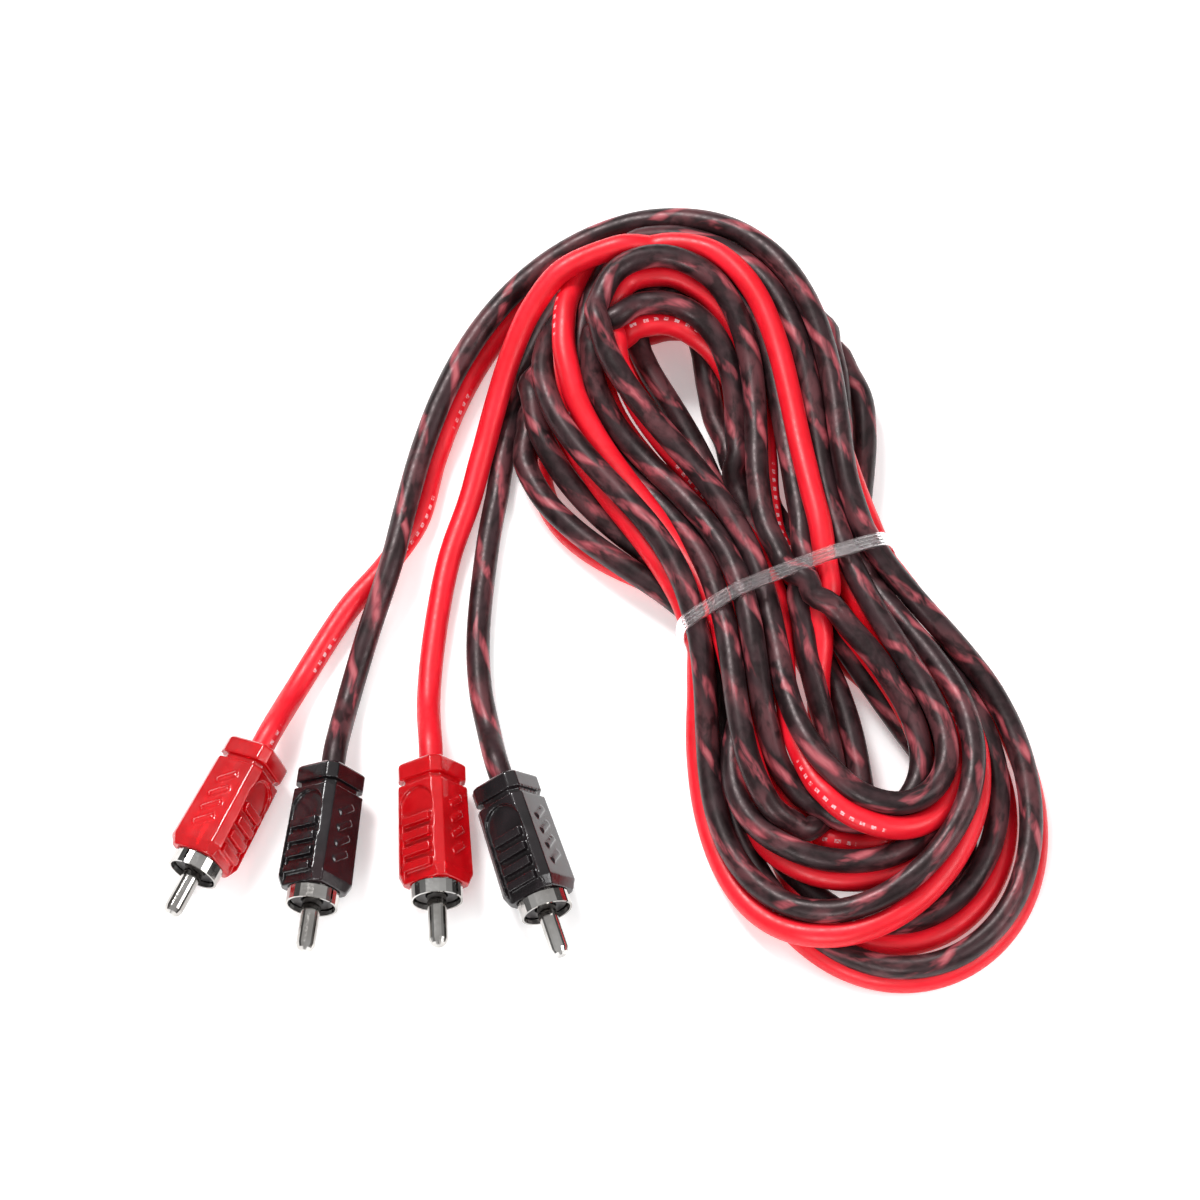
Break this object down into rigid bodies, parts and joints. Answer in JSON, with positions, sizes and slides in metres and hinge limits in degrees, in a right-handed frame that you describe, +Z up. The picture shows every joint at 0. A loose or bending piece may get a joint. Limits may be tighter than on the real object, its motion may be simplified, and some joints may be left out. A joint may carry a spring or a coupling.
{
  "type": "phono lead hank",
  "caption": "Two-channel phono lead wound into a tied hank, with its moulded plugs laid out in a fan beside it.",
  "frame": {"origin": "on the floor, under the middle of the whole object's footprint", "axes": "+Z up from the surface it lies on, +Y from the plugs' pins towards the leads, +X from the plugs towards the hank"},
  "size_m": [0.149, 0.1434, 0.0193],
  "materials": {
    "red_jacket": "satin soft vinyl",
    "black_jacket": "smoky translucent vinyl, satin",
    "red_overmould": "translucent moulded vinyl",
    "black_overmould": "translucent smoked moulded vinyl",
    "plated_metal": "bright nickel plate",
    "insulator": "moulded, matte",
    "core": "satin",
    "copper": "fine stranded wire",
    "tie": "clear ribbed plastic"
  },
  "bodies": {
    "root": {"plug_1_overmould": "red_overmould", "plug_1_ground_shell": "plated_metal", "plug_1_insulator": "insulator", "plug_1_centre_pin": "plated_metal", "plug_1_ground_lug": "plated_metal", "plug_1_shield": "copper", "plug_1_core_wire": "core", "plug_1_lead": "red_jacket", "plug_2_overmould": "black_overmould", "plug_2_ground_shell": "plated_metal", "plug_2_insulator": "insulator", "plug_2_centre_pin": "plated_metal", "plug_2_ground_lug": "plated_metal", "plug_2_shield": "copper", "plug_2_core_wire": "core", "plug_2_lead": "black_jacket", "plug_3_overmould": "red_overmould", "plug_3_ground_shell": "plated_metal", "plug_3_insulator": "insulator", "plug_3_centre_pin": "plated_metal", "plug_3_ground_lug": "plated_metal", "plug_3_shield": "copper", "plug_3_core_wire": "core", "plug_3_lead": "red_jacket", "plug_4_overmould": "black_overmould", "plug_4_ground_shell": "plated_metal", "plug_4_insulator": "insulator", "plug_4_centre_pin": "plated_metal", "plug_4_ground_lug": "plated_metal", "plug_4_shield": "copper", "plug_4_core_wire": "core", "plug_4_lead": "black_jacket", "hank": "black_jacket", "tie": "tie"}
  },
  "joints": []
}
